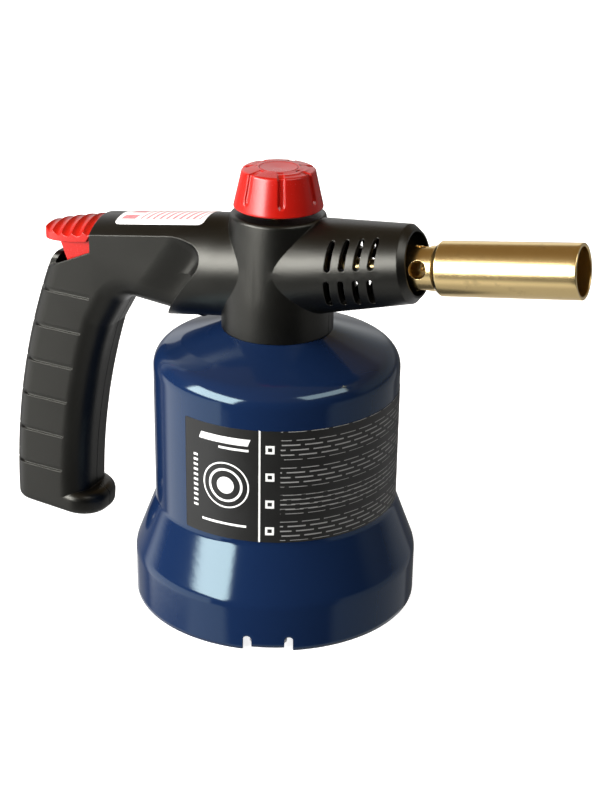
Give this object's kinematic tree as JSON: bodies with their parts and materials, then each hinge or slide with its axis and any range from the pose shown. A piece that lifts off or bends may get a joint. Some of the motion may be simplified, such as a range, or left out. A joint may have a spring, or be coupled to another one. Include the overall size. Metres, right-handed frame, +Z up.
{
  "type": "blow lamp",
  "caption": "Hand-held gas blow lamp: brass burner tube and slotted shroud on a moulded grip and arm, rotary gas knob, piezo lever, and a flared steel housing for a pierceable cartridge",
  "frame": {"origin": "centre of the base rim, on the plane that it stands on, below the axis of the housing, valve and knob", "axes": "+X points forward over the ground towards the burner, +Y to the side away from the graphic panel, +Z up"},
  "size_m": [0.2341, 0.111, 0.1714],
  "materials": {
    "blue_paint": "gloss",
    "cartridge_paint": "gloss",
    "zinc_steel": "satin",
    "dark_steel": "satin",
    "black_plastic": "satin",
    "light_plastic": "satin",
    "red_plastic": "gloss",
    "brass": "polished",
    "rubber_seal": "matte",
    "ceramic_white": "satin",
    "lead_sheath": "satin",
    "label_film": "gloss"
  },
  "bodies": {
    "root": {"canister_housing": "blue_paint", "gas_cartridge": "cartridge_paint", "left_housing": "black_plastic", "right_housing": "black_plastic", "housing_screws": "dark_steel", "lever_pin": "zinc_steel", "piezo_body": "black_plastic", "valve_body": "brass", "valve_nut": "brass", "cartridge_seal": "rubber_seal", "piercing_needle": "zinc_steel", "gland_nut": "brass", "gas_pipe": "brass", "jet": "brass", "burner_neck": "brass", "burner_tube": "brass", "flame_disc": "brass", "electrode_insulator": "ceramic_white", "spark_electrode": "zinc_steel", "ignition_lead": "lead_sheath", "canister_label": "label_film", "arm_badge": "label_film"},
    "spindle": {"valve_spindle": "brass", "spindle_orings": "rubber_seal"},
    "knob": {"control_knob": "red_plastic", "knob_cap": "red_plastic", "knob_screw": "zinc_steel"},
    "lever": {"igniter_lever": "red_plastic"},
    "plunger": {"piezo_plunger": "light_plastic"},
    "strap": {"retaining_strap": "zinc_steel"}
  },
  "joints": [
    {"name": "spindle_rise", "type": "slide", "parent": "root", "child": "spindle", "axis": [0, 0, 1], "range_m": [0, 0.0012]},
    {"name": "knob_turn", "type": "hinge", "parent": "spindle", "child": "knob", "pos_m": [0, 0, 0.16], "axis": [0, 0, 1], "range_deg": [0, 540]},
    {"name": "lever_press", "type": "hinge", "parent": "root", "child": "lever", "pos_m": [-0.064, 0, 0.131], "axis": [0, -1, 0], "range_deg": [0, 8], "stiffness_Nm_per_rad": 0.4, "springref_deg": -6.88},
    {"name": "plunger_push", "type": "slide", "parent": "root", "child": "plunger", "axis": [0, 0, -1], "range_m": [0, 0.0026]},
    {"name": "strap_turn", "type": "hinge", "parent": "root", "child": "strap", "pos_m": [0, 0, 0.004], "axis": [0, 0, 1], "range_deg": [0, 32]}
  ],
  "couplings": [
    {"joint": "knob_turn", "follows": "spindle_rise", "rad_per_m": 7853.9},
    {"joint": "lever_press", "follows": "plunger_push", "rad_per_m": 53.763}
  ]
}
